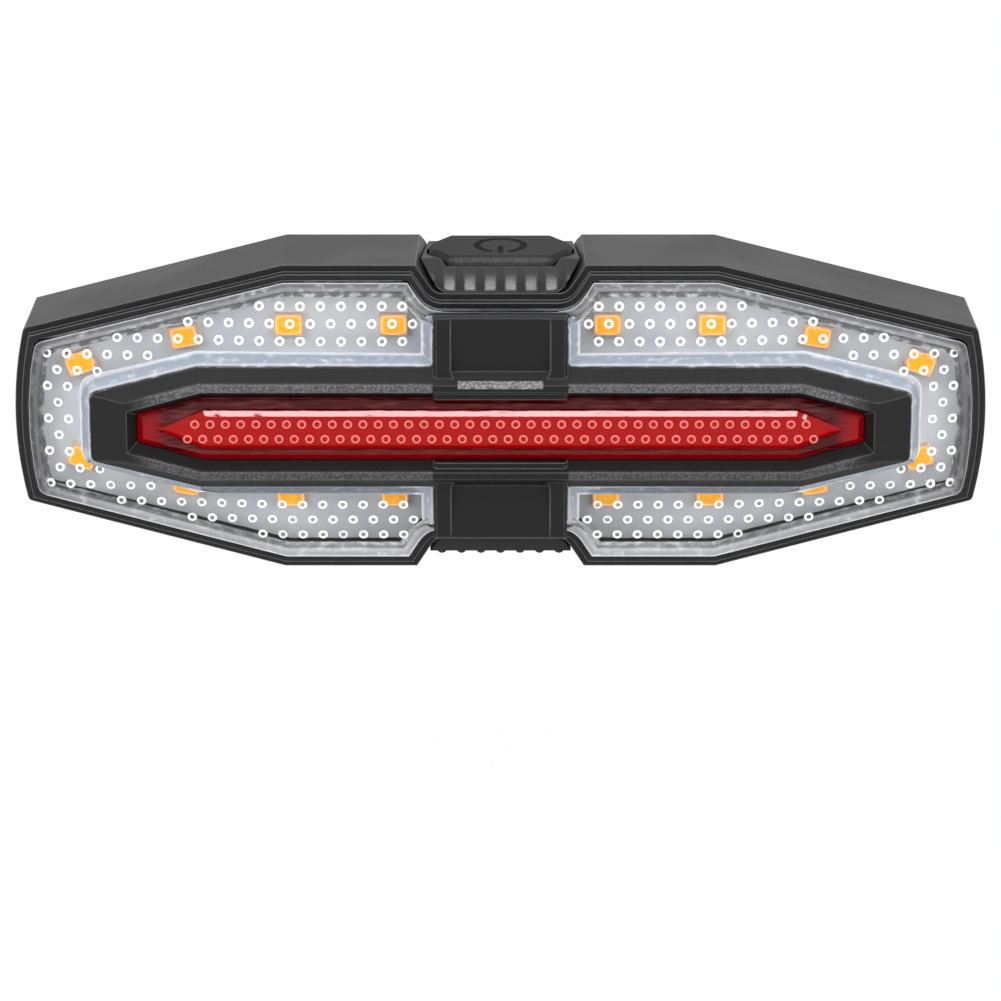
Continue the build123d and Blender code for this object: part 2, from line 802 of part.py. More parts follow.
def button_outline(gap):
    """Long octagon of the button, seen from above."""
    flat, half = button_flat_half, button_half_length
    front, back, corner = button_depth / 2, -button_depth / 2, button_corner
    right = [(flat, front), (half, front - corner), (half, back + corner), (flat, back)]
    left = [(-x, y) for x, y in reversed(right)]
    face = make_face(Polyline(*right, *left, close=True))
    return grown(face, gap) if gap else face


def facing_up(shape, height):
    """Lay a shape that was drawn flat so that its z runs up the height of the light."""
    return Pos(0, height, button_middle) * Rot(X=-90) * shape


def power_button():
    """Soft bevelled octagon with a round stem down to the switch."""
    pad = prism(button_outline(0), 0, button_thickness)
    pad = chamfer(pad.faces().sort_by(Axis.Z)[-1].edges(), button_bevel)
    stem = upright_rod(stem_radius, 0, switch_middle, stem_end, button_bottom + merge)
    return facing_up(pad, button_bottom) + stem


def button_bezel():
    """Insert for the top notch: a fluted finger ramp that climbs round the pocket of the button."""
    solid = prism(notch_profile(1, bezel_gap, 0, bezel_height, bezel_corner), -housing_depth, 0)
    ramp = Plane(origin=(0, notch_floor_y + ramp_foot, 0),
                 z_dir=(0, cos(radians(ramp_angle)), sin(radians(ramp_angle))))
    brow = Plane(origin=(0, notch_floor_y + bezel_height, -button_front),
                 z_dir=(0, cos(radians(bezel_fall)), -sin(radians(bezel_fall))))
    for cut in (ramp, brow):
        solid = split(solid, bisect_by=cut, keep=Keep.BOTTOM)
    for number in range(flute_count):
        solid -= flute((number - (flute_count - 1) / 2) * flute_pitch)
    solid -= facing_up(prism(button_outline(running_gap), 0, notch_depth), pocket_floor)
    return solid - upright_rod(stem_radius + running_gap, 0, switch_middle, 0, half_height)


def flute(x):
    """One wedge-shaped groove up the ramp, deepest at its foot."""
    rise, run = sin(radians(ramp_angle)), cos(radians(ramp_angle))
    side = Plane(origin=(x, notch_floor_y + ramp_foot, 0), x_dir=(0, rise, -run), z_dir=(1, 0, 0))
    end = flute_start + flute_length
    corners = [(flute_start, overrun), (flute_start, -flute_depth), (end, 0), (end, overrun)]
    return extrude(side * make_face(Polyline(*corners, close=True)), amount=flute_width / 2, both=True)


def port_cover():
    """Ribbed rubber flap in the bottom notch, with a plug that enters the port."""
    profile = notch_profile(-1, bezel_gap, seat_gap, cover_thickness, notch_corner - bezel_gap)
    flap = prism(profile, -cover_set_back - cover_length, -cover_set_back)
    plug = rounded_slab(port_width - 2 * plug_gap, port_height - 2 * plug_gap, port_corner - plug_gap,
                        plug_height + seat_gap + merge)
    flap += Pos(0, -notch_floor_y - seat_gap - merge, usb_middle) * Rot(X=-90) * plug
    height = cover_bottom - cover_rib_proud + cover_rib_radius
    for number in range(cover_rib_count):
        x = (number - (cover_rib_count - 1) / 2) * cover_rib_pitch
        flap += rod(cover_rib_radius, x, height, -cover_set_back - cover_rib_length, -cover_set_back)
    return flap


def port_cover_hinge():
    """The strip of the flap that is glued into the notch, behind its bending line."""
    profile = notch_profile(-1, bezel_gap, 0, cover_thickness + seat_gap, notch_corner - bezel_gap)
    return prism(profile, -housing_depth + back_chamfer, hinge_line - running_gap / 2)


def usb_socket():
    """Socket shell with a tongue, on the control board behind the port."""
    mouth = -cavity_top + usb_set_back
    shell = rounded_slab(usb_width, usb_height, usb_corner, usb_length)
    inner = rounded_slab(usb_width - 2 * usb_wall, usb_height - 2 * usb_wall, usb_corner - usb_wall,
                         usb_length - usb_wall + overrun)
    half = usb_width / 2 - 3 * usb_wall
    tongue = block(-half, half, mouth + 2 * usb_wall, mouth + usb_length - usb_wall / 2,
                   usb_middle - usb_tongue / 2, usb_middle + usb_tongue / 2)
    shell = Pos(0, mouth, usb_middle) * Rot(X=-90) * shell
    return shell - Pos(0, mouth - overrun, usb_middle) * Rot(X=-90) * inner + tongue


def battery():
    """Flat pouch cell with rounded long edges."""
    cell = block(battery_left, battery_right, -battery_half_height, battery_half_height,
                 battery_floor, battery_top)
    return fillet(cell.edges().filter_by(Axis.X), battery_round)


def battery_foam():
    """Foam tape that holds the cell on the housing floor."""
    half = battery_half_height - battery_round
    return block(battery_left + battery_round, battery_right - battery_round, -half, half,
                 cavity_floor, battery_floor)


def battery_guard_board():
    """Narrow protection board on the end of the cell."""
    half = battery_half_height - battery_round
    return block(battery_right, battery_right + board_thickness, -half, half,
                 battery_floor + battery_round, battery_top - battery_round)


def battery_lead(side):
    """One short insulated wire, bent in an S from the guard board to the control board."""
    start_x, end_x = battery_right + board_thickness, -control_left
    middle_x = (start_x + end_x) / 2
    near, far = side * lead_spacing, side * (lead_spacing + lead_jog)
    level = -control_depth - board_thickness / 2
    path = FilletPolyline((start_x, far, level), (middle_x, far, level), (middle_x, near, level),
                          (end_x, near, level), radius=lead_bend)
    section = Plane(origin=path @ 0, z_dir=path % 0) * RegularPolygon(lead_radius, lead_sides)
    return sweep(section, path=path)


def housing_screws():
    """Four pan-head screws, driven from the back into the posts of the frame."""
    screws = []
    for x, y in post_places:
        shank = rod(screw_radius, x, y, well_floor, well_floor + screw_length)
        head = rod(screw_head_radius, x, y, well_floor - screw_head_height, well_floor)
        head = chamfer(head.faces().sort_by(Axis.Z)[0].edges(), screw_head_bevel)
        screws.append(shank + head)
    return screws


def round_post(profile, half):
    """Carry a plan of the bracket along the seat post, to both sides of the saddle's middle."""
    return Pos(0, saddle_middle_y - half, post_z) * Rot(X=-90) * extrude(profile, 2 * half, dir=(0, 0, 1))


def towards_light(angle, reach):
    """A point of such a plan, by its angle from the light's side and its distance from the axis."""
    return (reach * sin(radians(angle)), -reach * cos(radians(angle)))


def bracket_base():
    """Slide tongue, back plate and saddle in one moulding, with a strap peg on each side."""
    low, high = -rail_half_length, rail_half_length - rail_stop - slide_gap
    head_half = rail_inner_half - slide_gap
    stem_half = rail_slot_half - slide_gap
    head = block(-head_half, head_half, low, high, slot_back + slide_gap, channel_floor - slide_gap)
    tips = head.edges().filter_by(Axis.Z).group_by(Axis.Y)[-1]
    head = chamfer(tips, tongue_tip)
    stem = block(-stem_half, stem_half, low, high, plate_front - merge, slot_back + slide_gap + merge)
    plate = block(-rail_outer_half, rail_outer_half, low, high, plate_back, plate_front)
    plate = fillet(plate.edges().filter_by(Axis.Z), plate_corner)
    bottom, top = saddle_middle_y - saddle_height / 2, saddle_middle_y + saddle_height / 2
    saddle = block(-saddle_half_width, saddle_half_width, bottom, top, saddle_tip_z, plate_front - merge)
    neck = strap_outer_radius + seat_gap
    saddle += across_rod(peg_head_radius, neck + peg_head_length) - across_rod(peg_head_radius, neck)
    saddle += across_rod(peg_radius, neck + peg_head_length)
    saddle -= upright_rod(saddle_radius, 0, post_z, bottom - overrun, top + overrun)
    return head + stem + plate + saddle


def across_rod(radius, half):
    """A round bar through the bracket from side to side, where the strap is hung."""
    return Pos(0, saddle_middle_y, peg_z) * Rot(Y=90) * Cylinder(radius, 2 * half)


def bracket_pad():
    """Rubber liner between the saddle and the seat post."""
    reach = 2 * saddle_radius
    angles = [share * saddle_half_angle for share in (-1, -0.5, 0, 0.5, 1)]
    wedge = make_face(Polyline((0, 0), *[towards_light(angle, reach) for angle in angles], close=True))
    return round_post((Circle(saddle_radius) - Circle(post_pipe_radius)) & wedge, strap_half_width)


def strap():
    """Stretch strap round the back of the seat post, with a peg hole in each end and a pull tab."""
    ends = peg_z + strap_end_margin
    leg = ends - post_z
    middle = (post_pipe_radius + strap_outer_radius) / 2
    plan = (Circle(strap_outer_radius) - Circle(post_pipe_radius)) & (
        Pos(0, strap_outer_radius) * Rectangle(2 * strap_outer_radius, 2 * strap_outer_radius))
    for side in (1, -1):
        plan += Pos(side * middle, -leg / 2) * Rectangle(strap_thickness, leg)
    band = round_post(plan, strap_half_width)
    tips = band.edges().filter_by(Axis.X).group_by(Axis.Z)[-1]
    band = fillet(tips, strap_end_round)
    tab = block(strap_outer_radius - merge, strap_outer_radius + tab_length, saddle_middle_y - tab_half_width,
                saddle_middle_y + tab_half_width, ends - strap_thickness, ends)
    return band + tab - across_rod(peg_radius + seat_gap, strap_outer_radius + overrun)


nodes = {
    "rear_housing": rear_housing(),
    "clear_lens": clear_lens(),
    "lens_seal": lens_seal(),
    "centre_frame": centre_frame(),
    "red_lens": red_lens(),
    "led_board": led_board(),
    "amber_leds": Compound(children=amber_leds()),
    "red_leds": Compound(children=red_leds()),
    "control_board": control_board(),
    "control_chips": Compound(children=control_chips()),
    "board_header": board_header(),
    "radio_module": radio_module(),
    "power_switch": power_switch(),
    "switch_plunger": switch_plunger(),
    "power_button": power_button(),
    "button_bezel": button_bezel(),
    "port_cover": port_cover(),
    "port_cover_hinge": port_cover_hinge(),
    "usb_socket": usb_socket(),
    "battery": battery(),
    "battery_foam": battery_foam(),
    "battery_guard_board": battery_guard_board(),
    "battery_lead_red": battery_lead(1),
    "battery_lead_black": battery_lead(-1),
    "housing_screws": Compound(children=housing_screws()),
    "bracket_base": bracket_base(),
    "bracket_pad": bracket_pad(),
    "strap": strap(),
}

os.makedirs("parts", exist_ok=True)
for name, shape in nodes.items():
    save(name, shape)
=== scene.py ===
from math import radians

import bpy
import numpy as np
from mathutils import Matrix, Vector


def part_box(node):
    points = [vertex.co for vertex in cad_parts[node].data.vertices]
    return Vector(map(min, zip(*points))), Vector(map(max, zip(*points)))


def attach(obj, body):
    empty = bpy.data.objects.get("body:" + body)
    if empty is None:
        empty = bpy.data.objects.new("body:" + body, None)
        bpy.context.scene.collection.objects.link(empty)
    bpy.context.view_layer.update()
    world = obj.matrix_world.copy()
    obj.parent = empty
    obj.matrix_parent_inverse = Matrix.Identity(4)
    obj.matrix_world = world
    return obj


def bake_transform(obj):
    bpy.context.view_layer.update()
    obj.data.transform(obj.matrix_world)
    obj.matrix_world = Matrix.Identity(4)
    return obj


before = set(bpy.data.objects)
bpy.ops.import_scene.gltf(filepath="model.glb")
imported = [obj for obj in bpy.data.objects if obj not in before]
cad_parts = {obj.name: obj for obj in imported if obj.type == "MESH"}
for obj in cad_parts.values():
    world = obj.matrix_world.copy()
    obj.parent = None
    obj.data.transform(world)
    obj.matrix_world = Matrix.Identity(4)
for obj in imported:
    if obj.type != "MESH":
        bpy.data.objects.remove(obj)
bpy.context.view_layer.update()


# Rear housing: the drafted tub with its lip and slide rails, moulded in black ABS. The tool was
# spark-eroded, so the skin has a fine even grain, and its edges are softened and carry a painted
# highlight.
def add(tree, kind, inputs=None, **settings):
    """One node of a tree, with its properties set and each socket given a value or a wire."""
    node = tree.nodes.new(kind)
    for name, value in settings.items():
        setattr(node, name, value)
    for name, value in (inputs or {}).items():
        if isinstance(value, bpy.types.NodeSocket):
            tree.links.new(value, node.inputs[name])
        else:
            node.inputs[name].default_value = value
    return node


def calc(tree, operation, *values, **settings):
    """The result of one Math node on the values or wires."""
    inputs = dict(enumerate(values))
    return add(tree, "ShaderNodeMath", inputs, operation=operation, **settings).outputs[0]


def product(tree, first, *others):
    """The product of a wire and the values or wires after it, taken from left to right."""
    for other in others:
        first = calc(tree, "MULTIPLY", first, other)
    return first


def own_place(tree):
    """Where a point lies on the piece itself, so that a pattern moves with the piece."""
    return add(tree, "ShaderNodeTexCoord").outputs["Object"]


def parts_of(tree, vector):
    """The X, Y and Z of a vector, by name."""
    return add(tree, "ShaderNodeSeparateXYZ", {"Vector": vector}).outputs


def noise(tree, place, scale, detail):
    """Smooth noise over the place, mostly between 0.3 and 0.7."""
    inputs = {"Vector": place, "Scale": scale, "Detail": detail}
    return add(tree, "ShaderNodeTexNoise", inputs).outputs["Fac"]


def surface_value(tree, name):
    """The value that the piece's mesh carries in a named attribute."""
    return add(tree, "ShaderNodeAttribute", attribute_name=name).outputs["Fac"]


def share(tree, value, low, high, first=0.0, last=1.0):
    """A smooth step from first to last while the value goes from low to high."""
    return add(tree, "ShaderNodeMapRange", {"Value": value, "From Min": low, "From Max": high,
                                            "To Min": first, "To Max": last},
               interpolation_type="SMOOTHSTEP").outputs["Result"]


def blend_colour(tree, factor, first, last):
    """A colour between first and last, each a colour or a wire."""
    node = add(tree, "ShaderNodeMix", {"Factor": factor}, data_type="RGBA")
    for place, value in ((6, first), (7, last)):
        if isinstance(value, bpy.types.NodeSocket):
            tree.links.new(value, node.inputs[place])
        else:
            node.inputs[place].default_value = (*value, 1)
    return node.outputs[2]


def feed(tree, node, **wires):
    """Links each wire to the node's socket of that name."""
    for label, wire in wires.items():
        tree.links.new(wire, node.inputs[label.replace("_", " ")])


def emboss(tree, shader, height, distance, **over):
    """Bumps the shader's surface by the height, on top of a Normal where one is given."""
    bump = add(tree, "ShaderNodeBump", {"Height": height, "Distance": distance, **over})
    feed(tree, shader, Normal=bump.outputs["Normal"])


def effect(name, takes, gives):
    """An empty node group with float inputs, given outputs, and its two end nodes."""
    tree = bpy.data.node_groups.new(name, "ShaderNodeTree")
    for label, value in takes.items():
        socket = tree.interface.new_socket(label, in_out="INPUT", socket_type="NodeSocketFloat")
        socket.default_value = value
    for label, kind in gives.items():
        tree.interface.new_socket(label, in_out="OUTPUT", socket_type="NodeSocket" + kind)
    return tree, tree.nodes.new("NodeGroupInput").outputs, tree.nodes.new("NodeGroupOutput")


def fit(tree, effect_tree, **values):
    """The outputs of a node that holds the effect, with its named inputs set."""
    node = tree.nodes.new("ShaderNodeGroup")
    node.node_tree = effect_tree
    for name, value in values.items():
        node.inputs[name].default_value = value
    return node.outputs


def finish_of(name, colour, roughness, **plain):
    """A material, its tree and its shader, with the values that are the same all over."""
    made = bpy.data.materials.new(name)
    made.use_nodes = True
    shader = made.node_tree.nodes["Principled BSDF"]
    shader.inputs["Base Color"].default_value = (*colour, 1)
    shader.inputs["Roughness"].default_value = roughness
    for label, value in plain.items():
        shader.inputs[label.replace("_", " ")].default_value = value
    return made, made.node_tree, shader


def dress(node, finish):
    """Gives a CAD node the finish in each of its slots."""
    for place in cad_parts[node].material_slots:
        place.material = finish


# Height is fine cells on a slow swell; Mottle is a slow handling pattern; Edge is how far the
# softened normal leaves the true one, which is most on corners; Normal is the softened one.
moulded, takes, gives = effect(
    "moulded_skin", {"Grain": 2600.0, "Softening": 0.00025},
    {"Height": "Float", "Mottle": "Float", "Edge": "Float", "Normal": "Vector"})
spot = own_place(moulded)
cells = add(moulded, "ShaderNodeTexVoronoi",
            {"Vector": spot, "Scale": takes["Grain"]}).outputs["Distance"]
swell = noise(moulded, spot, 600.0, 2.0)
height = product(moulded, cells, share(moulded, swell, 0.3, 0.7, 0.7, 1.0))
mottle = noise(moulded, spot, 60.0, 2.0)
soft = add(moulded, "ShaderNodeBevel", {"Radius": takes["Softening"]}, samples=6).outputs["Normal"]
true = add(moulded, "ShaderNodeNewGeometry").outputs["True Normal"]
along = add(moulded, "ShaderNodeVectorMath", {0: soft, 1: true}, operation="DOT_PRODUCT")
feed(moulded, gives, Height=height, Mottle=share(moulded, mottle, 0.35, 0.65),
     Edge=share(moulded, along.outputs["Value"], 0.99, 0.82), Normal=soft)


def black_moulding(name, shade, roughness, grain, depth, softening=0.00025, edge_highlight=0.35):
    """Black plastic: its edges are lightened as a painted highlight, and its gloss follows the
    handling.
    """
    black = (shade, shade, shade * 1.08)
    made, tree, shader = finish_of(name, black, roughness, Specular_IOR_Level=0.27)
    skin = fit(tree, moulded, Grain=grain, Softening=softening)
    # Edges are lightened towards this shade: a painted highlight where rounded edges would catch
    # the light.
    light = shade * 6 + 0.14
    colour = blend_colour(tree, product(tree, skin["Edge"], edge_highlight), black, (light, light, light))
    gloss = share(tree, skin["Mottle"], 0.0, 1.0, roughness - 0.03, roughness + 0.03)
    feed(tree, shader, Base_Color=colour, Roughness=gloss)
    emboss(tree, shader, skin["Height"], depth, Normal=skin["Normal"])
    return made, tree, shader, colour


housing_finish = black_moulding("housing_abs", 0.008, 0.44, 3600.0, 0.00003, edge_highlight=0.8)[0]
dress("rear_housing", housing_finish)


# Port cover and its glued strip: black silicone in the bottom notch, matt, with a dusty bloom in
# slow patches. The flap swings down on the thin web between the two pieces, which is added here.
def soft_rubber(name, shade, grain, depth):
    """Matt rubber with a faint pale bloom in slow patches."""
    made, tree, shader = finish_of(name, (shade, shade, shade), 0.65, Specular_IOR_Level=0.2)
    skin = fit(tree, moulded, Grain=grain, Softening=0.0003)
    dust = (shade * 2.2, shade * 2.2, shade * 2.15)
    colour = blend_colour(tree, share(tree, skin["Mottle"], 0.2, 1.0, 0.0, 0.3),
                          (shade, shade, shade), dust)
    feed(tree, shader, Base_Color=colour)
    emboss(tree, shader, skin["Height"], depth, Normal=skin["Normal"])
    return made, tree, shader, colour


cover_finish = soft_rubber("cover_silicone", 0.02, 3000.0, 0.00005)[0]
dress("port_cover", cover_finish)
dress("port_cover_hinge", cover_finish)


def new_piece(name, points, faces):
    """An object at the origin, with a mesh of the points and faces."""
    mesh = bpy.data.meshes.new(name)
    mesh.from_pydata(points, [], faces)
    piece = bpy.data.objects.new(name, mesh)
    bpy.context.collection.objects.link(piece)
    return piece


def cover_web(half, near, far, low, high, steps=13):
    """The thin web that the flap bends on: a bar as wide as the flap, whose four long edges are
    carried in even steps from near to far."""
    y = np.repeat(np.linspace(near, far, steps), 4)
    x = np.tile([-half, half, half, -half], steps)
    z = np.tile([low, low, high, high], steps)
    rings = 4 * np.arange(steps - 1)[:, None] + np.arange(4)
    following = 4 * np.arange(steps - 1)[:, None] + np.roll(np.arange(4), -1)
    sides = np.stack([rings, following, following + 4, rings + 4], 2).reshape(-1, 4)
    end = 4 * steps
    caps = [[3, 2, 1, 0], [end - 4, end - 3, end - 2, end - 1]]
    return new_piece("cover_web", np.stack([x, y, z], 1).tolist(), sides.tolist() + caps)


strip_end, flap_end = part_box("port_cover_hinge")[0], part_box("port_cover")[1]
outside = strip_end[2]
half_width, lap, web_low, web_high = 0.0085, 0.00015, 0.00002, 0.00027
web = cover_web(half_width, strip_end[1] + lap, flap_end[1] - lap,
                outside + web_low, outside + web_high)
web.data.materials.append(cover_finish)
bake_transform(web)


# Control board: green solder mask over glass fibre, with tracks that show as a faint grid of
# ridges. It carries black packages, a header to the front board, a shielded radio and the switch.
board_finish, tree, shader = finish_of("green_board", (0.02, 0.16, 0.06), 0.35, Coat_Weight=0.3)
tracks = add(tree, "ShaderNodeTexBrick", {
    "Vector": own_place(tree), "Scale": 320.0, "Mortar Size": 0.03,
    "Color1": (0.015, 0.13, 0.05, 1), "Color2": (0.02, 0.19, 0.07, 1),
    "Mortar": (0.05, 0.3, 0.12, 1)})
feed(tree, shader, Base_Color=tracks.outputs["Color"])
emboss(tree, shader, tracks.outputs["Fac"], 0.00005)
dress("control_board", board_finish)
chip_finish = black_moulding("chip_epoxy", 0.03, 0.5, 4000.0, 0.00004, 0.0001)[0]
for part in ("control_chips", "board_header", "power_switch"):
    dress(part, chip_finish)


def bright_metal(name, colour, roughness, brush):
    """Metal whose gloss and height follow streaks that are long in one direction."""
    made, tree, shader = finish_of(name, colour, roughness, Metallic=1.0)
    turned = add(tree, "ShaderNodeMapping", {"Vector": own_place(tree), "Scale": brush})
    streaks = noise(tree, turned.outputs["Vector"], 900.0, 3.0)
    feed(tree, shader, Roughness=share(tree, streaks, 0.3, 0.7, roughness - 0.08, roughness + 0.12))
    emboss(tree, shader, streaks, 0.00002)
    return made


dress("radio_module", bright_metal("shield_tin", (0.72, 0.72, 0.7), 0.3, (0.1, 1.0, 1.0)))
dress("usb_socket", bright_metal("socket_steel", (0.7, 0.7, 0.72), 0.24, (1.0, 0.1, 1.0)))
plunger_finish, tree, shader = finish_of("plunger_nylon", (0.75, 0.74, 0.7), 0.45,
                                         Subsurface_Weight=0.0)
skin = fit(tree, moulded, Grain=3500.0, Softening=0.0001)
emboss(tree, shader, skin["Height"], 0.00003, Normal=skin["Normal"])
dress("switch_plunger", plunger_finish)


# Battery: a flat pouch cell in crinkled silver foil on a strip of grey foam, with its guard board
# wrapped at one end and a red and a black wire to the control board.
dress("battery", bright_metal("cell_foil", (0.62, 0.63, 0.65), 0.38, (0.3, 1.0, 0.3)))
dress("battery_guard_board", board_finish)
dress("battery_foam", soft_rubber("tape_foam", 0.12, 1500.0, 0.0002)[0])
for side, colour in (("red", (0.55, 0.02, 0.015)), ("black", (0.02, 0.02, 0.022))):
    wire_finish, tree, shader = finish_of("wire_" + side, colour, 0.4)
    skin = fit(tree, moulded, Grain=3000.0, Softening=0.0002)
    shade = tuple(0.5 * part for part in colour)
    dimmed = blend_colour(tree, share(tree, skin["Mottle"], 0.0, 1.0, 0.0, 0.4), colour, shade)
    feed(tree, shader, Base_Color=dimmed)
    dress("battery_lead_" + side, wire_finish)


# Front board: glass fibre under a white solder mask that throws the light forward. The mask is
# slightly blue and a little uneven. The board stands on four standoffs of the housing.
white_finish, tree, shader = finish_of("white_board", (0.8, 0.83, 0.88), 0.5,
                                       Specular_IOR_Level=0.4)
cloud = noise(tree, own_place(tree), 140.0, 5.0)
feed(tree, shader, Base_Color=blend_colour(tree, share(tree, cloud, 0.3, 0.7),
                                           (0.86, 0.89, 0.95), (0.94, 0.95, 0.97)))
dress("led_board", white_finish)


# Amber lamps: sixteen moulded packages with a pale rim, soldered to the front board. Each has a
# domed window of orange phosphor resin, added here, which is what shows through the clear lens, and
# which is given a painted glow.
def rim_and_painted_glow(name, rim, heart, painted_glow):
    """A resin whose colour goes from the heart to the rim by the surface's rim attribute, and which
    gives off that colour as a painted glow.
    """
    made, tree, shader = finish_of(name, heart, 0.4, Specular_IOR_Level=0.2)
    edge = surface_value(tree, "rim")
    speck = noise(tree, own_place(tree), 2500.0, 3.0)
    dark_heart = tuple(0.8 * part for part in heart)
    deep = blend_colour(tree, share(tree, speck, 0.35, 0.7), heart, dark_heart)
    colour = blend_colour(tree, share(tree, edge, 0.75, 1.0), deep, rim)
    # The emission is a painted glow of the resin's own colour.
    feed(tree, shader, Base_Color=colour, Emission_Color=colour)
    shader.inputs["Emission Strength"].default_value = painted_glow
    return made


def spread(piece, name, values):
    """Gives each point of the piece its value of a named attribute."""
    piece.data.attributes.new(name, "FLOAT", "POINT").data.foreach_set("value", values)


def lamp_windows(name, centres, turns, length, width, rise, steps=13):
    """Domed pads on the front board: each is a grid from -1 to 1 both ways, squared off by
    |u|**6 + |v|**6, and stands rise * (1 - (|u|**6 + |v|**6) / 2) proud towards the viewer."""
    u, v = np.meshgrid(np.linspace(-1, 1, steps), np.linspace(-1, 1, steps))
    fall = (np.abs(u) ** 6 + np.abs(v) ** 6) / 2
    pull = 1 - 0.1 * np.abs(u * v) ** 4
    x, z, out = u * pull * length / 2, v * pull * width / 2, -rise * (1 - fall)
    turns, centres = np.asarray(turns)[:, None], np.asarray(centres)
    across = x.ravel() * np.cos(turns) - z.ravel() * np.sin(turns)
    up = x.ravel() * np.sin(turns) + z.ravel() * np.cos(turns)
    out = np.broadcast_to(out.ravel(), across.shape)
    points = np.stack([across, out, up], 2) + centres[:, None, :]
    low = np.arange(steps * (steps - 1)).reshape(-1, steps)[:, :-1].ravel()
    quads = np.stack([low, low + 1, low + steps + 1, low + steps], 1)
    starts = np.arange(len(centres))[:, None, None] * steps ** 2
    faces = (quads[None] + starts).reshape(-1, 4)
    piece = new_piece(name, points.reshape(-1, 3).tolist(), faces.tolist())
    spread(piece, "rim", np.tile(np.maximum(np.abs(u), np.abs(v)).ravel(), len(centres)))
    piece.data.shade_smooth()
    return piece


package_finish, tree, shader = finish_of("amber_package", (1.0, 0.7, 0.45), 0.4, Coat_Weight=0.2)
skin = fit(tree, moulded, Grain=5000.0, Softening=0.00015)
pale_edge = blend_colour(tree, skin["Edge"], (1.0, 0.66, 0.4), (1.0, 0.8, 0.62))
feed(tree, shader, Base_Color=pale_edge, Normal=skin["Normal"])
dress("amber_leds", package_finish)
mid_height, package_front, row_height = 0.005, -0.03805, 0.011
first_column, column_pitch = 0.0132, 0.0129
plate_slope = np.tan(radians(14.57))
columns = first_column + column_pitch * np.arange(4)
drop = np.array([0, 0, plate_slope * 0.0059, plate_slope * 0.0188])
lean = np.radians([0, 0, 10, 20])
centres = [(side * x, package_front, mid_height + up * (row_height - fall))
           for side in (1, -1) for up in (1, -1) for x, fall in zip(columns, drop)]
turns = [-side * up * turn for side in (1, -1) for up in (1, -1) for turn in lean]
window_length, window_width, window_rise = 0.0031, 0.0024, 0.00012
windows = lamp_windows("amber_windows", centres, turns, window_length, window_width, window_rise)
windows.data.materials.append(
    rim_and_painted_glow("amber_resin", (1.0, 0.6, 0.25), (1.0, 0.42, 0.0), 0.6))
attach(windows, "light")


# Red lamps: seventeen small packages of red resin, soldered in one row along the middle of the
# front board, under the red lens. Their resin has a faint painted glow.
dress("red_leds", rim_and_painted_glow("red_resin", (0.8, 0.1, 0.08), (0.7, 0.02, 0.015), 0.1))


# Lens seal: a closed ring of black silicone that lies in the housing's seat. The clear lens is
# pressed on to it.
dress("lens_seal", soft_rubber("seal_silicone", 0.025, 3000.0, 0.00004)[0])


# Clear lens: one injection-moulded shell of polycarbonate. It bends the view of the board at its
# bevels, and daylight and lamps go through it to what lies behind.
def lens_glass(name, colour, roughness, ior):
    """Moulded glass that bends what is seen through it and lets lamps through."""
    made, tree, shader = finish_of(name, colour, roughness, IOR=ior, Transmission_Weight=1.0,
                                   Specular_Tint=(0.5, 0.5, 0.5, 1))
    emboss(tree, shader, noise(tree, own_place(tree), 260.0, 2.0), 0.00006)
    clear = add(tree, "ShaderNodeBsdfTransparent", {"Color": (*colour, 1)})
    shadow = add(tree, "ShaderNodeLightPath").outputs["Is Shadow Ray"]
    both = add(tree, "ShaderNodeMixShader",
               {0: shadow, 1: shader.outputs[0], 2: clear.outputs[0]})
    feed(tree, tree.nodes["Material Output"], Surface=both.outputs[0])
    return made


dress("clear_lens", lens_glass("clear_polycarbonate", (0.97, 0.98, 0.99), 0.02, 1.52))


# Optic rings of the clear lens: small cups with a raised rim, moulded in staggered rows 2.5 mm
# apart over the flat plates. Each rim carries a painted highlight, a white ring, over a painted
# dark middle.
def ring_field(name, centres, normals, radius, rise, sides=12):
    """Small cups with a raised rim. At share s of the radius a cup stands rise * sin(pi * s**2)
    above the surface, turned about its normal in even steps."""
    shares = np.array([0.25, 0.5, 0.75, 1.0])
    around = np.arange(sides) * np.pi / 6
    helper = np.where(np.abs(normals[:, 2:]) < 0.8, [[0, 0, 1.0]], [[1.0, 0, 0]])
    side = np.cross(helper, normals)
    side /= np.linalg.norm(side, axis=1, keepdims=True)
    up = np.cross(normals, side)
    turned = around[None, None, :, None]
    ring = np.cos(turned) * side[:, None, None] + np.sin(turned) * up[:, None, None]
    lift = rise * np.sin(np.pi * shares ** 2)
    points = centres[:, None, None] + radius * shares[None, :, None, None] * ring + \
        lift[None, :, None, None] * normals[:, None, None]
    points = np.concatenate([centres[:, None], points.reshape(len(centres), -1, 3)], 1)
    turn = np.arange(sides)
    following = (turn + 1) % sides
    fans = np.stack([0 * turn, 1 + turn, 1 + following], 1)
    first = 1 + sides * np.arange(len(shares) - 1)[:, None]
    quads = np.stack([first + turn, first + sides + turn, first + sides + following,
                      first + following], 2).reshape(-1, 4)
    starts = np.arange(len(centres))[:, None, None] * (1 + len(shares) * sides)
    faces = [face for shape in (fans, quads)
             for face in (shape[None] + starts).reshape(-1, shape.shape[1]).tolist()]
    piece = new_piece(name, points.reshape(-1, 3).tolist(), faces)
    spread(piece, "rim", np.tile(np.r_[0, np.repeat(shares, sides)], len(centres)))
    piece.data.shade_smooth()
    return piece


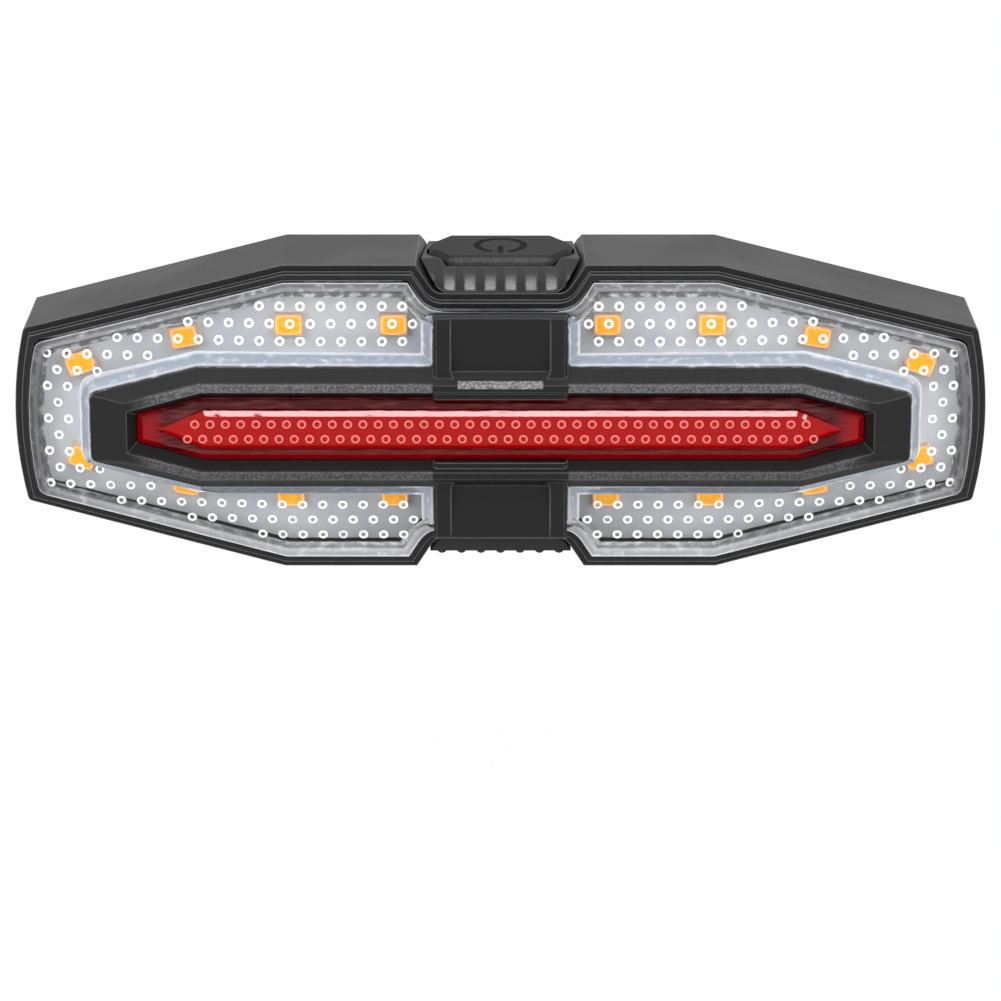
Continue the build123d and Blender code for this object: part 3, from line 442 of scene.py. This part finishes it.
def on_plate(node, spots, reach):
    """Where points seen from the front fall on a CAD node, kept where the surface round each is
    one plate that faces forwards: four neighbours at the reach lie near its plane."""
    lens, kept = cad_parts[node], []
    for x, z in spots:
        hits = [lens.ray_cast((x + a * reach, -0.2, z + b * reach), (0, 1, 0))
                for a, b in ((0, 0), (1, 0), (-1, 0), (0, 1), (0, -1))]
        if all(hit[0] for hit in hits):
            _, middle, normal, _ = hits[0]
            even = all(hit[2].dot(normal) > 0.96
                       and abs((hit[1] - middle).dot(normal)) < 0.6 * reach for hit in hits[1:])
            if even and normal.y < -0.96:
                kept.append((*middle, *normal))
    return np.array(kept)


def ring_highlight_band(tree, inner_start, inner_end):
    """The painted highlight of each cup: it starts inside its rim and fades out at the very edge.
    """
    edge = surface_value(tree, "rim")
    return product(tree, share(tree, edge, inner_start, inner_end), share(tree, edge, 0.98, 0.84))


pitch, row_pitch, first_ring = 0.0025, 0.002105, 0.00075
spots = [(side * (pitch * column + first_ring + pitch / 2 * (row % 2 == 0)),
          mid_height + row_pitch * (row - 7))
         for side in (1, -1) for row in range(15) for column in range(24)]
nearest, farthest, half_field, taper_start, taper = 0.0103, 0.0565, 0.0166, 0.0268, 0.26
spots = [(x, z) for x, z in spots if nearest < abs(x) < farthest
         and abs(z - mid_height) < half_field - taper * max(0.0, abs(x) - taper_start)]
neighbour_reach, proud, cup_radius, cup_rise = 0.00042, 0.00002, 0.00066, 0.00012
plates = on_plate("clear_lens", spots, neighbour_reach)
optics = ring_field("lens_optics", plates[:, :3] + plates[:, 3:] * proud, plates[:, 3:],
                    cup_radius, cup_rise)
# The ring is painted: a white painted highlight on each rim over a painted dark middle.
ring_finish, tree, shader = finish_of("ring_polycarbonate", (0.95, 0.96, 0.97), 0.2,
                                      Coat_Weight=0.5)
ring_glint = ring_highlight_band(tree, 0.32, 0.55)
haze = noise(tree, own_place(tree), 260.0, 1.0)
solid = product(tree, share(tree, ring_glint, 0.0, 1.0, 0.3, 0.95), share(tree, haze, 0.3, 0.6, 0.6, 1.0))
feed(tree, shader, Alpha=solid,
     Base_Color=blend_colour(tree, ring_glint, (0.1, 0.11, 0.13), (1.0, 1.0, 1.0)))
optics.data.materials.append(ring_finish)
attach(optics, "light")


# Lands of the clear lens: the bevelled band beside the frame and its pads, and the flat border
# inside the rim. The tool left both unpolished, so they are milky, and veils laid on them carry a
# painted view through the glass: painted highlights on their edges and painted shade in dark bands
# and strokes.
def rounded_outline(corners, radii, away, steps=7):
    """A closed outline moved outwards by away. Each corner moves along its bisector and becomes
    the parabola (1-s)**2 A + 2s(1-s) C + s**2 B between its radius's tangent points A and B."""
    corners, radii = np.asarray(corners), np.asarray(radii)
    after = np.roll(corners, -1, 0) - corners
    after /= np.linalg.norm(after, axis=1, keepdims=True)
    before = np.roll(after, 1, 0)
    out_after = np.stack([after[:, 1], -after[:, 0]], 1)
    out_before = np.stack([before[:, 1], -before[:, 0]], 1)
    level = (out_after * out_before).sum(1, keepdims=True)
    moved = corners + away * (out_after + out_before) / (1 + level)
    bend = before[:, 0] * after[:, 1] - before[:, 1] * after[:, 0]
    reach = np.maximum(radii + away * np.sign(bend), 0.00005) * \
        np.sqrt((1 - level[:, 0]) / (1 + level[:, 0]))
    s = np.linspace(0, 1, steps)[None, :, None]
    first, last = moved - reach[:, None] * before, moved + reach[:, None] * after
    return (1 - s) ** 2 * first[:, None] + 2 * s * (1 - s) * moved[:, None] + s ** 2 * last[:, None]


def lens_land(name, quarter, radii, reaches, lift, in_front=-0.06):
    """A band on the clear lens, between copies of an outline that are moved outwards by the
    reaches. The quarter holds the corners from the top to the middle of the right side. The band
    runs from its lowest to its highest corner there, and is mirrored to the left."""
    right = quarter + [(x, -z) for x, z in reversed(quarter)]
    corners = right[::-1] + [(-x, z) for x, z in right]
    radii = (radii + radii[::-1]) * 2
    rows = np.stack([rounded_outline(corners, radii, reach) for reach in reaches])
    rows = rows[:, :len(right)].reshape(len(reaches), -1, 2)
    columns = rows.shape[1]
    depth, height = np.full(rows.shape[:2], in_front), rows[:, :, 1] + mid_height
    points = np.concatenate([np.stack([side * rows[:, :, 0], depth, height], 2)
                             for side in (1, -1)])
    low = (np.arange(len(reaches) - 1)[:, None] * columns + np.arange(columns - 1)[None]).ravel()
    quads = np.stack([low, low + 1, low + columns + 1, low + columns], 1)
    faces = np.concatenate([quads, quads[:, ::-1] + len(reaches) * columns])
    piece = new_piece(name, points.reshape(-1, 3).tolist(), faces.tolist())
    shares = np.interp(reaches, (min(reaches), max(reaches)), (0, 1))
    spread(piece, "across", np.tile(np.repeat(shares, columns), 2))
    steps = np.linalg.norm(np.diff(rows[-1], axis=0), axis=1)
    spread(piece, "along", np.tile(np.r_[0, np.cumsum(steps)], 2 * len(reaches)))
    lay = piece.modifiers.new("lay", "SHRINKWRAP")
    lay.target, lay.wrap_method, lay.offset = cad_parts["clear_lens"], "PROJECT", lift
    lay.use_project_y, lay.use_negative_direction, lay.use_positive_direction = True, False, True
    bpy.context.view_layer.update()
    laid = piece.evaluated_get(bpy.context.evaluated_depsgraph_get())
    laid = bpy.data.meshes.new_from_object(laid)
    piece.modifiers.clear()
    piece.data = laid
    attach(piece, "light")
    return piece


def painted_land_veil(name, painted_stops, shadow_strokes, solid):
    """A frosted band whose shade goes through the painted stops across it, painted highlight and
    painted shade. Dark strokes of painted shade run along its foot, its lower stretch is painted
    paler, as painted light because it faces the sky, and its far ends are painted dark."""
    made, tree, shader = finish_of(name, (0.7, 0.74, 0.8), 0.5, Specular_IOR_Level=0.3)
    across, along = surface_value(tree, "across"), surface_value(tree, "along")
    ramp = add(tree, "ShaderNodeValToRGB", {"Fac": across})
    shades = ramp.color_ramp.elements
    shades[0].color, shades[1].color = (*painted_stops[0][1], 1), (*painted_stops[-1][1], 1)
    for place, shade in painted_stops[1:-1]:
        shades.new(place).color = (*shade, 1)
    band_width = 0.004
    laid = add(tree, "ShaderNodeCombineXYZ",
               {"X": along, "Y": product(tree, across, band_width)}).outputs[0]
    flow = noise(tree, laid, 750.0, 4.0)
    # Pale streaks, a paler lower stretch, dark ends and dark strokes along the foot are painted
    # highlight and painted shade.
    streaked = blend_colour(tree, share(tree, flow, 0.5, 0.75, 0.0, 0.4), ramp.outputs["Color"],
                            (0.8, 0.82, 0.86))
    axes = parts_of(tree, own_place(tree))
    rise = axes["Z"]
    painted_pale_lower = blend_colour(tree, share(tree, rise, -0.003, -0.008, 0.0, 0.3), streaked,
                         (0.7, 0.71, 0.73))
    wide = calc(tree, "ABSOLUTE", axes["X"])
    painted_dark_ends = blend_colour(tree, share(tree, wide, 0.0545, 0.0575, 0.0, 0.6), painted_pale_lower,
                             (0.06, 0.06, 0.06))
    painted_foot = product(tree, share(tree, flow, 0.56, 0.44), share(tree, across, 0.55, 0.25))
    stroke_shade = product(tree, painted_foot, share(tree, rise, -0.008, -0.003, 0.4 * shadow_strokes, shadow_strokes))
    cover = share(tree, rise, -0.003, -0.008, solid, 0.92)
    feed(tree, shader, Base_Color=blend_colour(tree, stroke_shade, painted_dark_ends, (0.05, 0.045, 0.04)),
         Alpha=product(tree, share(tree, across, 0.0, 0.12), cover))
    return made


land_lift = 0.00003
beside_frame = [(0.0082, 0.0124), (0.0082, 0.0076), (0.0371, 0.0076), (0.0503, 0.00425)]
frame_land = lens_land("frame_land", beside_frame, [0.0003, 0.0006, 0.0005, 0.001],
                       [0.00155, 0.00142, 0.00125, 0.0008, 0.0004, 0.0001, -0.0001], land_lift)
# The stops across the land are painted highlight lines and painted shade bands.
frame_land.data.materials.append(painted_land_veil(
    "land_polycarbonate",
    [(0, (0.05, 0.05, 0.06)), (0.12, (0.05, 0.05, 0.06)), (0.2, (0.45, 0.47, 0.5)),
     (0.35, (0.26, 0.29, 0.34)), (0.75, (0.23, 0.26, 0.31)), (0.9, (0.5, 0.51, 0.54)),
     (1.0, (0.6, 0.6, 0.62))], 0.0, 0.95))
inside_rim = [(0.0081, 0.0159), (0.0104, 0.0195), (0.0268, 0.0195), (0.0587, 0.0112)]
inside_rim += [(0.06 - 0.0013 * y * y, 0.0112 * y) for y in (0.6, 0.2)]
rim_land = lens_land("rim_land", inside_rim, [0.0018, 0.001, 0.0008, 0.0033, 0.001, 0.001],
                     [-0.0038, -0.0034, -0.0031, -0.0029, -0.0026, -0.0023, -0.002, -0.00181],
                     land_lift)
# The stops across the border are painted highlight lines and painted shade bands.
rim_land.data.materials.append(painted_land_veil(
    "border_polycarbonate",
    [(0, (0.4, 0.41, 0.42)), (0.35, (0.16, 0.16, 0.16)), (0.6, (0.24, 0.24, 0.25)),
     (0.8, (0.09, 0.09, 0.1)), (0.93, (0.16, 0.16, 0.17)), (1.0, (0.85, 0.85, 0.85))], 0.95, 0.75))


# Red lens: a long pointed prism of red acrylic with a bevelled ridge, held by a flange under the
# edge of the frame's window. Its bevels carry dark streaks of painted reflection, and its ends and
# foot are painted brighter as painted light.
red_finish = lens_glass("red_acrylic", (0.5, 0.0, 0.0), 0.05, 1.49)
tree = red_finish.node_tree
shader = tree.nodes["Principled BSDF"]
shader.inputs["Transmission Weight"].default_value = 0.5
spot = own_place(tree)
axes = parts_of(tree, spot)
pulled = add(tree, "ShaderNodeMapping", {"Vector": spot, "Scale": (0.25, 1.0, 2.5)})
flow = noise(tree, pulled.outputs["Vector"], 1500.0, 3.0)
# The bevel colours are painted: dark streaks of painted reflection, and a brighter foot and ends as
# painted light.
bevel = blend_colour(tree, share(tree, flow, 0.45, 0.7), (0.09, 0.0, 0.002), (0.22, 0.035, 0.04))
bevel = blend_colour(tree, share(tree, axes["Z"], 0.0012, 0.0026), (0.35, 0.0, 0.002), bevel)
wide = calc(tree, "ABSOLUTE", axes["X"])
bevel = blend_colour(tree, share(tree, wide, 0.0405, 0.0435), bevel, (0.42, 0.0, 0.003))
flat_top = share(tree, axes["Y"], -0.04585, -0.0461)
feed(tree, shader, Base_Color=blend_colour(tree, flat_top, bevel, (0.5, 0.0, 0.0)))
dress("red_lens", red_finish)


# Optic rings of the red lens: small cups moulded in its flat top, in two staggered rows. The cups
# of a row are 1.87 mm apart. Each rim carries a painted highlight ring.
red_pitch, row_offset, row_middle, red_reach = 0.00187, 0.00095, 0.0049, 0.0385
red_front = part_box("red_lens")[0][1]
red_spots = np.array([((column + 0.5 * row) * red_pitch, red_front - 0.00001, row_middle + height)
                      for row, height in enumerate((row_offset, -row_offset))
                      for column in range(-22, 22)
                      if abs(column + 0.5 * row) * red_pitch < red_reach])
forwards = np.tile([[0, -1.0, 0]], (len(red_spots), 1))
red_optics = ring_field("red_optics", red_spots, forwards, 0.0006, 0.00008)
# The red rings are painted: a bright painted highlight on each rim over a dark red middle.
red_ring_finish, tree, shader = finish_of("red_rings", (1.0, 0.16, 0.13), 0.25, Coat_Weight=0.6)
ring_glint = ring_highlight_band(tree, 0.4, 0.7)
feed(tree, shader, Base_Color=blend_colour(tree, ring_glint, (0.3, 0.0, 0.0), (1.0, 0.2, 0.17)),
     Alpha=share(tree, ring_glint, 0.0, 1.0, 0.2, 0.7))
red_optics.data.materials.append(red_ring_finish)
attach(red_optics, "light")


# Centre frame: the black hexagonal trim with its two bridge pads, in matt ABS. The tool has a
# coarse etched grain on the crest and on the upper pad's step, and there its grains carry painted
# glints, brighter on the upper crest: a painted highlight.
frame_finish, tree, shader, colour = black_moulding("frame_abs", 0.007, 0.46, 4200.0, 0.00003,
                                                    edge_highlight=0.6)
shader.inputs["Specular IOR Level"].default_value = 0.2
spot = own_place(tree)
axes = parts_of(tree, spot)
height = calc(tree, "SUBTRACT", axes["Z"], mid_height)
wide = calc(tree, "ABSOLUTE", axes["X"])
step_height, step_half, step_reach, pad_side = 0.00605, 0.00042, 0.0052, 0.0083
level = calc(tree, "COMPARE", calc(tree, "ABSOLUTE", height), step_height, step_half)
step = product(tree, level, calc(tree, "LESS_THAN", wide, step_reach),
               share(tree, height, -0.001, 0.001), share(tree, axes["Y"], -0.0452, -0.0454))
# Painted glints on the crest and the step, faded towards the ends and brighter higher up: painted
# highlight.
glint_fade = product(tree, share(tree, wide, 0.046, 0.041),
               share(tree, axes["Z"], -0.004, 0.009, 0.3, 0.6))
crest = product(tree, share(tree, axes["Y"], -0.0469, -0.0473),
                calc(tree, "GREATER_THAN", wide, pad_side), 0.75, glint_fade)
glint_grains = share(tree, noise(tree, spot, 3600.0, 1.0), 0.3, 0.75, 0.25, 0.9)
painted_glints = product(tree, calc(tree, "MAXIMUM", crest, step), glint_grains)
feed(tree, shader, Base_Color=blend_colour(tree, painted_glints, colour, (0.28, 0.28, 0.29)))
dress("centre_frame", frame_finish)


# Screws: four zinc-plated pan heads in the wells of the back. They go through the housing into
# the posts of the centre frame.
dress("housing_screws", bright_metal("screw_zinc", (0.6, 0.6, 0.62), 0.32, (1.0, 1.0, 0.2)))


# Bezel: the fluted finger ramp pressed into the top notch, moulded apart in black ABS. The flutes
# are polished at their foot and duller towards the button, and their foot is painted pale as a
# painted highlight.
bezel_finish, tree, shader, colour = black_moulding("bezel_abs", 0.009, 0.22, 3600.0, 0.00002,
                                                    edge_highlight=0.3)
rise = parts_of(tree, own_place(tree))["Z"]
facing = add(tree, "ShaderNodeNewGeometry").outputs["True Normal"]
flute_lean, lean_spread = 0.67, 0.05
flute = calc(tree, "COMPARE", parts_of(tree, facing)["Z"], flute_lean, lean_spread)
# The flutes' foot is painted pale: a painted highlight.
painted_foot = product(tree, flute, share(tree, rise, 0.0228, 0.0208))
feed(tree, shader, Base_Color=blend_colour(tree, painted_foot, colour, (0.17, 0.17, 0.175)),
     Roughness=share(tree, rise, 0.0214, 0.0232, 0.22, 0.5))
dress("button_bezel", bezel_finish)


# Power button: black silicone over the switch, with a power symbol sunk in its top: a ring that is
# open towards the rider, and a bar in the gap. The sunk symbol is painted darker, a painted shade
# in its recess. Its front edge is rubbed pale.
button_finish, tree, shader, colour = soft_rubber("button_silicone", 0.007, 3200.0, 0.00003)
spot = own_place(tree)
button_middle, ring_radius = (0.0, 0.0322, 0.0), 0.0029
moved = add(tree, "ShaderNodeMapping", {"Vector": spot, "Location": button_middle})
axes = parts_of(tree, moved.outputs["Vector"])
flat = add(tree, "ShaderNodeCombineXYZ", {"X": axes["X"], "Y": axes["Y"]}).outputs[0]
away = add(tree, "ShaderNodeVectorMath", {0: flat}, operation="LENGTH").outputs["Value"]
off = calc(tree, "ABSOLUTE", calc(tree, "SUBTRACT", away, ring_radius))
wide = calc(tree, "ABSOLUTE", axes["X"])
front = share(tree, axes["Y"], -0.0004, -0.0002, 1.0, 0.0)
gap = product(tree, share(tree, wide, 0.0011, 0.0009), front)
ring = calc(tree, "SUBTRACT", share(tree, off, 0.0005, 0.0003), gap, use_clamp=True)
bar = product(tree, share(tree, wide, 0.00038, 0.0002), front,
              share(tree, axes["Y"], -0.0035, -0.0033))
sunk = calc(tree, "MAXIMUM", ring, bar)
brow = product(tree, share(tree, axes["Y"], -0.0054, -0.0051),
               share(tree, axes["Y"], -0.0045, -0.0049), share(tree, wide, 0.007, 0.005))
flecks = share(tree, noise(tree, spot, 3600.0, 1.0), 0.2, 0.8, 0.3, 1.0)
# The sunk symbol is painted near black: painted shade in its recess.
shaded = blend_colour(tree, sunk, colour, (0.002, 0.002, 0.002))
rubbed = blend_colour(tree, product(tree, brow, flecks), shaded, (0.055, 0.055, 0.058))
feed(tree, shader, Base_Color=rubbed, Roughness=share(tree, sunk, 0.0, 1.0, 0.65, 1.0))
grain = shader.inputs["Normal"].links[0].from_socket
symbol_depth = 0.0005
emboss(tree, shader, calc(tree, "SUBTRACT", 1.0, sunk), symbol_depth, Normal=grain)
dress("power_button", button_finish)


# Bracket: a saddle of glass-filled nylon with a rubber pad, held round the seat post by a
# stretched rubber strap that hooks over two pegs. The light slides down on to its tongue.
dress("bracket_base", black_moulding("bracket_nylon", 0.02, 0.5, 1800.0, 0.0001)[0])
dress("bracket_pad", soft_rubber("pad_rubber", 0.016, 2200.0, 0.00006)[0])
dress("strap", soft_rubber("strap_rubber", 0.02, 1600.0, 0.00006)[0])


# Studio: a wide white floor below, a white surround that gloss and glass also see, a long bright
# strip high in front that the upper bevels mirror, a softbox above the back and two at the sides.
def seen_rays(tree):
    """1 for rays that the camera sends out, straight, off gloss or through glass, and else 0."""
    rays = add(tree, "ShaderNodeLightPath").outputs
    seen = calc(tree, "MAXIMUM", rays["Is Camera Ray"], rays["Is Glossy Ray"])
    return calc(tree, "MAXIMUM", seen, rays["Is Transmission Ray"])


floor_reach, floor_level = 4, -0.05
floor_corners = [(side * floor_reach, end * floor_reach, floor_level)
                 for side, end in ((-1, -1), (1, -1), (1, 1), (-1, 1))]
floor = new_piece("studio_floor", floor_corners, [(0, 1, 2, 3)])
floor_finish, tree, shader = finish_of("studio_white", (0.95, 0.95, 0.95), 0.9,
                                       Specular_IOR_Level=0.0)
white = add(tree, "ShaderNodeEmission", {"Color": (1, 1, 1, 1), "Strength": 1.0})
mixed = add(tree, "ShaderNodeMixShader", {0: product(tree, seen_rays(tree), 0.96),
                                          1: shader.outputs[0], 2: white.outputs[0]})
feed(tree, tree.nodes["Material Output"], Surface=mixed.outputs[0])
floor.data.materials.append(floor_finish)

world = bpy.data.worlds.new("studio_surround")
bpy.context.scene.world = world
world.use_nodes = True
tree = world.node_tree
background = tree.nodes["Background"]
level = add(tree, "ShaderNodeMapRange", {"Value": seen_rays(tree), "To Min": 0.95, "To Max": 1.0})
background.inputs["Color"].default_value = (1, 1, 1, 1)
feed(tree, background, Strength=level.outputs["Result"])


def soft_lamp(name, place, turn, size, power):
    """A rectangular lamp at the place, tilted and turned by degrees."""
    light = bpy.data.lights.new(name, "AREA")
    light.shape, light.size, light.size_y, light.energy = "RECTANGLE", *size, power
    lamp = bpy.data.objects.new(name, light)
    lamp.location, lamp.rotation_euler = place, [radians(angle) for angle in turn]
    bpy.context.collection.objects.link(lamp)


soft_lamp("front_strip", (0.0, -0.33, 0.62), (24.9, 0, 0), (0.9, 0.04), 3.3)
soft_lamp("top_softbox", (0.0, 0.22, 0.6), (-24, 0, 0), (0.6, 0.2), 1.1)
soft_lamp("left_softbox", (-0.6, -0.45, 0.2), (78, 0, -52), (0.3, 0.3), 1.3)
soft_lamp("right_softbox", (0.6, -0.45, 0.2), (78, 0, 52), (0.3, 0.3), 1.3)

focal_length, sensor, nearest_seen, look_down = 171.415, 36.0, 0.01, 19.005
lens_data = bpy.data.cameras.new("photo_camera")
lens_data.lens, lens_data.sensor_width, lens_data.clip_start = focal_length, sensor, nearest_seen
camera = bpy.data.objects.new("photo_camera", lens_data)
camera.location = (0.0, -0.60075, 0.1869)
camera.rotation_euler = (radians(90 - look_down), 0.0, 0.0)
bpy.context.collection.objects.link(camera)
bpy.context.scene.camera = camera
bpy.context.scene.view_settings.view_transform = "Standard"
